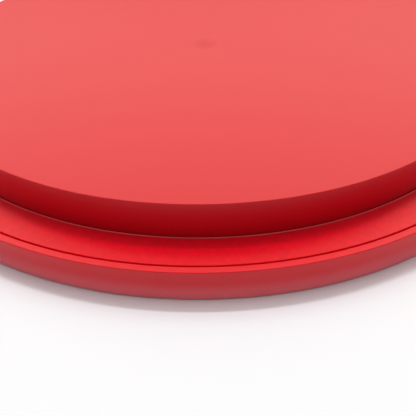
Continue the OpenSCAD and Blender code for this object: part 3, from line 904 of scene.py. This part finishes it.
def clip(hoop_r, wire, hoop_z, length, width, foot, roof, slit_down):
    """A snap clip at the +X side of a hoop, with a slit on the side that it is pushed on from."""
    shape = bmesh.new()
    block(shape, (hoop_r - length / 2, -width / 2, foot), (hoop_r + length / 2, width / 2, roof))
    bevelled(shape, 0.7 * MM)
    hole = bmesh.new()
    path = [Vector((hoop_r * math.cos(a), hoop_r * math.sin(a), hoop_z))
            for a in (k * width * 0.2 / hoop_r for k in range(-5, 6))]
    swept(hole, path, wire + 0.15 * MM, 32)
    shape = joined(shape, hole)
    slit = bmesh.new()
    ends = (foot - MM, hoop_z) if slit_down else (hoop_z, roof + MM)
    block(slit, (hoop_r - 0.6 * MM, -width, ends[0]), (hoop_r + 0.6 * MM, width, ends[1]))
    return joined(shape, slit)


def clips(name, shapes, body, node):
    into = bmesh.new()
    for shape, places in shapes:
        stamp(into, shape, places)
        shape.free()
    piece(name, into, "nylon", body, node)


CLIP_FOOT, CLIP_ROOF = low("hoop_clips").z, high("hoop_clips").z
clips("hoop_snap_clips", [
    (clip(HOOP_R, HOOP_WIRE, HOOP_Z, 10 * MM, 10 * MM, CLIP_FOOT, CLIP_ROOF, True), around(12, 7.5)),
    (clip(INNER_HOOP_R, HOOP_WIRE, HOOP_Z, 10 * MM, 10 * MM, CLIP_FOOT, CLIP_ROOF, True), around(6, 52.5)),
], "canopy", "hoop_clips")
clips("anchor_snap_clips", [
    (clip(ANCHOR_R, ANCHOR_WIRE, ANCHOR_Z, 10 * MM, 8 * MM,
          low("anchor_clips").z, high("anchor_clips").z, False), around(6, 15)),
], "base", "anchor_clips")

HOOK_WIRE = 1.5 * MM
HOOK_LOW_Z = low("chain_hooks").z
HOOK_R = (high("chain_hooks").z - HOOK_LOW_Z) / 2 - HOOK_WIRE


def hooks():
    """Closed rings of spring wire, each with the fine gap where its ends meet."""
    into = bmesh.new()
    for radius, count, turn in ((HOOP_R, 12, 0), (INNER_HOOP_R, 6, 22.5)):
        for place in around(count, turn, radius):
            centre = HOOK_LOW_Z + HOOK_WIRE + HOOK_R
            path = [place @ Vector((HOOK_R * math.cos(a), 0, centre + HOOK_R * math.sin(a)))
                    for a in (math.radians(32 + 356 * k / 48) for k in range(49))]
            swept(into, path, HOOK_WIRE, 14)
    return into


piece("chain_rings", hooks(), "chain_steel", "canopy", "chain_hooks", smooth=50)

LIFT = joint("canopy_lift")["range_m"][1]
FOLD_LOW = 17 * MM
FOLD_HIGH = HOOK_LOW_Z


def folded(height):
    """The height at rest of a point of a chain that hangs at that height once the canopy is up."""
    if height <= FOLD_LOW:
        return height
    if height >= FOLD_HIGH + LIFT:
        return height - LIFT
    lowest, highest = FOLD_LOW, FOLD_HIGH
    for _ in range(40):
        middle = (lowest + highest) / 2
        share = (middle - FOLD_LOW) / (FOLD_HIGH - FOLD_LOW)
        if middle + share * share * (3 - 2 * share) * LIFT < height:
            lowest = middle
        else:
            highest = middle
    return (lowest + highest) / 2


def chain_line(top_r, count):
    """Points of a slack chain in the plane of its hook, an even distance apart."""
    top = Vector((top_r, FOLD_HIGH + LIFT + 0.6 * MM))
    end = Vector((ANCHOR_R, ANCHOR_Z + ANCHOR_WIRE - 0.6 * MM))
    slack = 0.10 * (top_r - ANCHOR_R) + 8 * MM
    steps = 400
    fine = []
    for k in range(steps + 1):
        t = k / steps
        drop = 1 - (1 - t) ** 1.35
        fine.append(Vector((top.x + (end.x - top.x) * t ** 1.45 + slack * math.sin(math.pi * t) * 0.35,
                            top.y + (end.y - top.y) * drop)))
    lengths = [0.0]
    for first, second in zip(fine, fine[1:]):
        lengths.append(lengths[-1] + (second - first).length)
    points, k = [], 0
    for number in range(count + 1):
        want = lengths[-1] * number / count
        while k < steps - 1 and lengths[k + 1] < want:
            k += 1
        share = (want - lengths[k]) / (lengths[k + 1] - lengths[k])
        points.append(fine[k].lerp(fine[k + 1], share))
    return points


LINK_WIRE = 1.5 * MM
LINK_HALF_W = 3.4 * MM
LINK_STEPS = 8     # straight pieces in the half turn at a link's end


def chains(name, top_r, count, turn, links, node):
    into = bmesh.new()
    for place in around(count, turn):
        points = chain_line(top_r, links)
        for number, (upper, lower) in enumerate(zip(points, points[1:])):
            a, b = Vector((upper.x, 0, upper.y)), Vector((lower.x, 0, lower.y))
            along = (b - a).normalized()
            across = Vector((0, 1, 0)) if number % 2 else along.cross(Vector((0, 1, 0))).normalized()
            half = (b - a).length / 2 + LINK_WIRE
            straight = half - LINK_HALF_W
            path = []
            for end_turn in (0, 1):
                for k in range(LINK_STEPS + 1):
                    angle = math.pi * (end_turn + k / LINK_STEPS) - math.pi / 2
                    reach = along * (math.cos(angle) * LINK_HALF_W + straight * (1 - 2 * end_turn))
                    path.append((a + b) / 2 + reach + across * math.sin(angle) * LINK_HALF_W)
            swept(into, [place @ point for point in path], LINK_WIRE, 10, closed=True)
    for vertex in into.verts:
        vertex.co.z = folded(vertex.co.z)
    obj = piece(name, into, "chain_steel", None, node, smooth=60)
    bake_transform(obj)


chains("outer_chain_set", HOOP_R, 12, 0, 21, "outer_chains")
chains("inner_chain_set", INNER_HOOP_R, 6, 22.5, 20, "inner_chains")


# ---------- locks ----------

GUIDE_LENGTH = 12 * MM


def guides():
    lo = Vector((high("lock_guides").x - GUIDE_LENGTH, low("lock_guides").y, low("lock_guides").z))
    hi = high("lock_guides")
    shape = bmesh.new()
    block(shape, lo, hi)
    bevelled(shape, 1.2 * MM, 3)
    holes = bmesh.new()
    turned(holes, [(0, -MM), (BOLT_R + 1.1 * MM, -MM), (BOLT_R + FIT, 0.6 * MM), (BOLT_R + FIT, 11.4 * MM),
                   (BOLT_R + 1.1 * MM, 13 * MM), (0, 13 * MM)], at(lo.x, 0, BOLT_Z) @ SIDEWAYS, 48)
    for edge in (-1, 1):
        block(holes, (lo.x + 3 * MM, edge * 5.4 * MM - 0.5 * MM, hi.z - 0.6 * MM),
              (hi.x - 3 * MM, edge * 5.4 * MM + 0.5 * MM, hi.z + MM))
    shape = joined(shape, holes)
    into = bmesh.new()
    stamp(into, shape, both_sides(Matrix()))
    shape.free()
    return into


piece("bolt_guides", guides(), "nylon", "base", "lock_guides")


def bolt():
    start, end = low("lock_bolt_right").x, high("lock_bolt_right").x
    length = end - start
    groove = length - 5 * MM
    groove_r = BOLT_R - 0.5 * MM
    shape = bmesh.new()
    turned(shape, rounded([
        (0, 0), (BOLT_R - 1.2 * MM, 0, 0.5 * MM), (BOLT_R, 1.4 * MM, 0.5 * MM), (BOLT_R, groove, 0.2 * MM),
        (groove_r, groove + 0.5 * MM, 0.2 * MM), (groove_r, groove + 1.3 * MM, 0.2 * MM),
        (BOLT_R, groove + 1.8 * MM, 0.2 * MM), (BOLT_R, length), (0, length)]),
        at(start, 0, BOLT_Z) @ SIDEWAYS, 56)
    return shape


def knob():
    lo, hi = low("lock_knob_right"), high("lock_knob_right")
    length = hi.x - lo.x
    r = hi.y

    def flutes(angle, radius, height):
        inside = radius > r - 0.7 * MM and 1.2 * MM < height < length - 1.2 * MM
        return 1 - 0.05 * (0.5 - 0.5 * math.cos(20 * angle)) if inside else 1

    shape = bmesh.new()
    turned(shape, rounded([
        (0, 0), (r, 0, 0.9 * MM), (r, 1.25 * MM), (r, length - 1.25 * MM), (r, length, 1.1 * MM),
        (r * 0.55, length, 0.4 * MM), (r * 0.5, length - 0.5 * MM, 0.4 * MM), (0, length - 0.5 * MM)]),
        at(lo.x, 0, BOLT_Z) @ SIDEWAYS, 160, flutes)
    return shape


for side, place in zip(("right", "left"), both_sides(Matrix())):
    for part, shape, slot in (("bolt", bolt(), "zinc"), ("knob", knob(), "nylon")):
        shape.transform(place)
        piece(f"{side}_lock_{part}", shape, slot, f"lock_{side}", f"lock_{part}_{side}")


# ---------- carry handle ----------

HINGE = Vector(joint("handle_swing")["pos_m"])
BAR_R = high("handle_bail").y - (low("handle_grip").y + high("handle_grip").y) / 2
BAR_Y = high("handle_bail").y - BAR_R
ARM_X = 60 * MM
EYE_R = 6.5 * MM
EYE_T = 8.6 * MM
PIN_R = 3 * MM
PIN_HEAD_R, PIN_HEAD_H = 5 * MM, 3 * MM


def bail():
    bend = 9 * MM
    path = [Vector((-ARM_X, HINGE.y + 4 * MM, HINGE.z)), Vector((-ARM_X, HINGE.y + 16 * MM, HINGE.z))]
    for k in range(13):
        a = math.pi - k * math.pi / 24
        path.append(Vector((-ARM_X + bend + bend * math.cos(a), BAR_Y - bend + bend * math.sin(a), HINGE.z)))
    path += [Vector((-p.x, p.y, p.z)) for p in reversed(path)]
    shape = bmesh.new()
    swept(shape, path, BAR_R, 28)
    eyes = bmesh.new()
    for x in (-ARM_X, ARM_X):
        turned(eyes, rounded([(PIN_R + FIT, -EYE_T / 2, 0.3 * MM), (EYE_R, -EYE_T / 2, 0.9 * MM),
                              (EYE_R, EYE_T / 2, 0.9 * MM), (PIN_R + FIT, EYE_T / 2, 0.3 * MM)]),
               at(x, HINGE.y, HINGE.z) @ SIDEWAYS, 64)
    return joined(shape, eyes, "UNION")


piece("carry_bail", bail(), "zinc", "handle", "handle_bail")


def grip():
    lo, hi = low("handle_grip"), high("handle_grip")
    r = (hi.z - lo.z) / 2
    half = (hi.x - lo.x) / 2
    bore = BAR_R + FIT
    outer = []
    count = 11
    pitch = (2 * half - 14 * MM) / count
    for k in range(count):
        middle = -half + 7 * MM + (k + 0.5) * pitch
        for across, depth in ((-0.36, 0), (-0.22, 1.1), (0.22, 1.1), (0.36, 0)):
            outer.append((r - depth * MM, middle + across * pitch, 0.5 * MM))
    shape = bmesh.new()
    turned(shape, rounded([(bore, -half, 0.3 * MM), (r, -half, 2.4 * MM), *outer, (r, half, 2.4 * MM),
                           (bore, half, 0.3 * MM)]),
           at(0, BAR_Y, HINGE.z) @ SIDEWAYS, 72)
    return shape


piece("soft_grip", grip(), "grip_rubber", "handle", "handle_grip")


def pins():
    into = bmesh.new()
    for lo, hi in solids_of("handle_pins"):
        length = hi.x - lo.x
        shank = length - PIN_HEAD_H
        outline = rounded([(0, 0), (PIN_R, 0, 0.5 * MM), (PIN_R, shank, 0.2 * MM),
                           (PIN_HEAD_R, shank, 0.3 * MM), (PIN_HEAD_R, length, 1.4 * MM), (0, length)])
        start, turn = (lo.x, 90) if lo.x > 0 else (hi.x, -90)
        place = at(start, HINGE.y, HINGE.z) @ Matrix.Rotation(math.radians(turn), 4, "Y")
        turned(into, outline, place, 48)
    return into


piece("hinge_pins", pins(), "zinc", "base", "handle_pins")


def finish_brackets():
    """The brackets keep their own shape and get rounded edges."""
    brackets = frame["nodes"]["handle_brackets"]
    brackets.data.materials.clear()
    brackets.data.materials.append(FINISHES["nylon"].material)
    weld = brackets.modifiers.new("weld", "WELD")
    weld.merge_threshold = 0.01 * MM
    rounding = brackets.modifiers.new("rounding", "BEVEL")
    rounding.width = 0.5 * MM
    rounding.segments = 2
    rounding.limit_method = "ANGLE"
    rounding.angle_limit = math.radians(40)
    rounding.harden_normals = True


finish_brackets()


# ---------- floor and light ----------

def floor():
    half, thick = 6, 50 * MM
    shape = bmesh.new()
    block(shape, (-half, -half, -thick), (half, half, 0))
    mesh = bpy.data.meshes.new("floor")
    shape.to_mesh(mesh)
    shape.free()
    obj = bpy.data.objects.new("floor", mesh)
    bpy.context.scene.collection.objects.link(obj)
    mesh.materials.append(floor_white().material)


floor()


def panel(name, centre, aim, width, tall, power, colour=(1, 1, 1), shine=True):
    """A soft box that faces the aim; without shine it is not mirrored in glossy surfaces."""
    data = bpy.data.lights.new(name, "AREA")
    data.shape, data.size, data.size_y = "RECTANGLE", width, tall
    data.energy, data.color = power * width * tall * math.pi, colour
    obj = bpy.data.objects.new(name, data)
    obj.location = centre
    obj.rotation_mode = "QUATERNION"
    obj.rotation_quaternion = (Vector(aim) - Vector(centre)).to_track_quat("-Z", "Y")
    obj.visible_camera = False
    obj.visible_glossy = shine
    bpy.context.scene.collection.objects.link(obj)


MIDDLE = (0, 0, 30 * MM)
panel("back_wash", (0, 2.2, 1.85), MIDDLE, 4.0, 2.2, 1.45, (1, 0.97, 0.84))
panel("overhead", (0, 0.45, 2.6), MIDDLE, 3.0, 2.4, 1.95, shine=False)
panel("left_side", (-2.4, -0.3, 1.0), MIDDLE, 1.4, 1.6, 0.55)
panel("right_side", (2.4, -0.3, 1.0), MIDDLE, 1.4, 1.6, 0.55)
panel("front_fill", (0, -2.6, 1.3), MIDDLE, 2.4, 1.4, 0.24)
panel("key", (0.02, 1.04, 3.0), MIDDLE, 1.2, 0.14, 66, shine=False)

world = bpy.data.worlds.new("studio")
world.use_nodes = True
world.node_tree.nodes["Background"].inputs["Color"].default_value = (1, 1, 1, 1)
world.node_tree.nodes["Background"].inputs["Strength"].default_value = 0.16
bpy.context.scene.world = world
bpy.context.scene.view_settings.view_transform = "Standard"
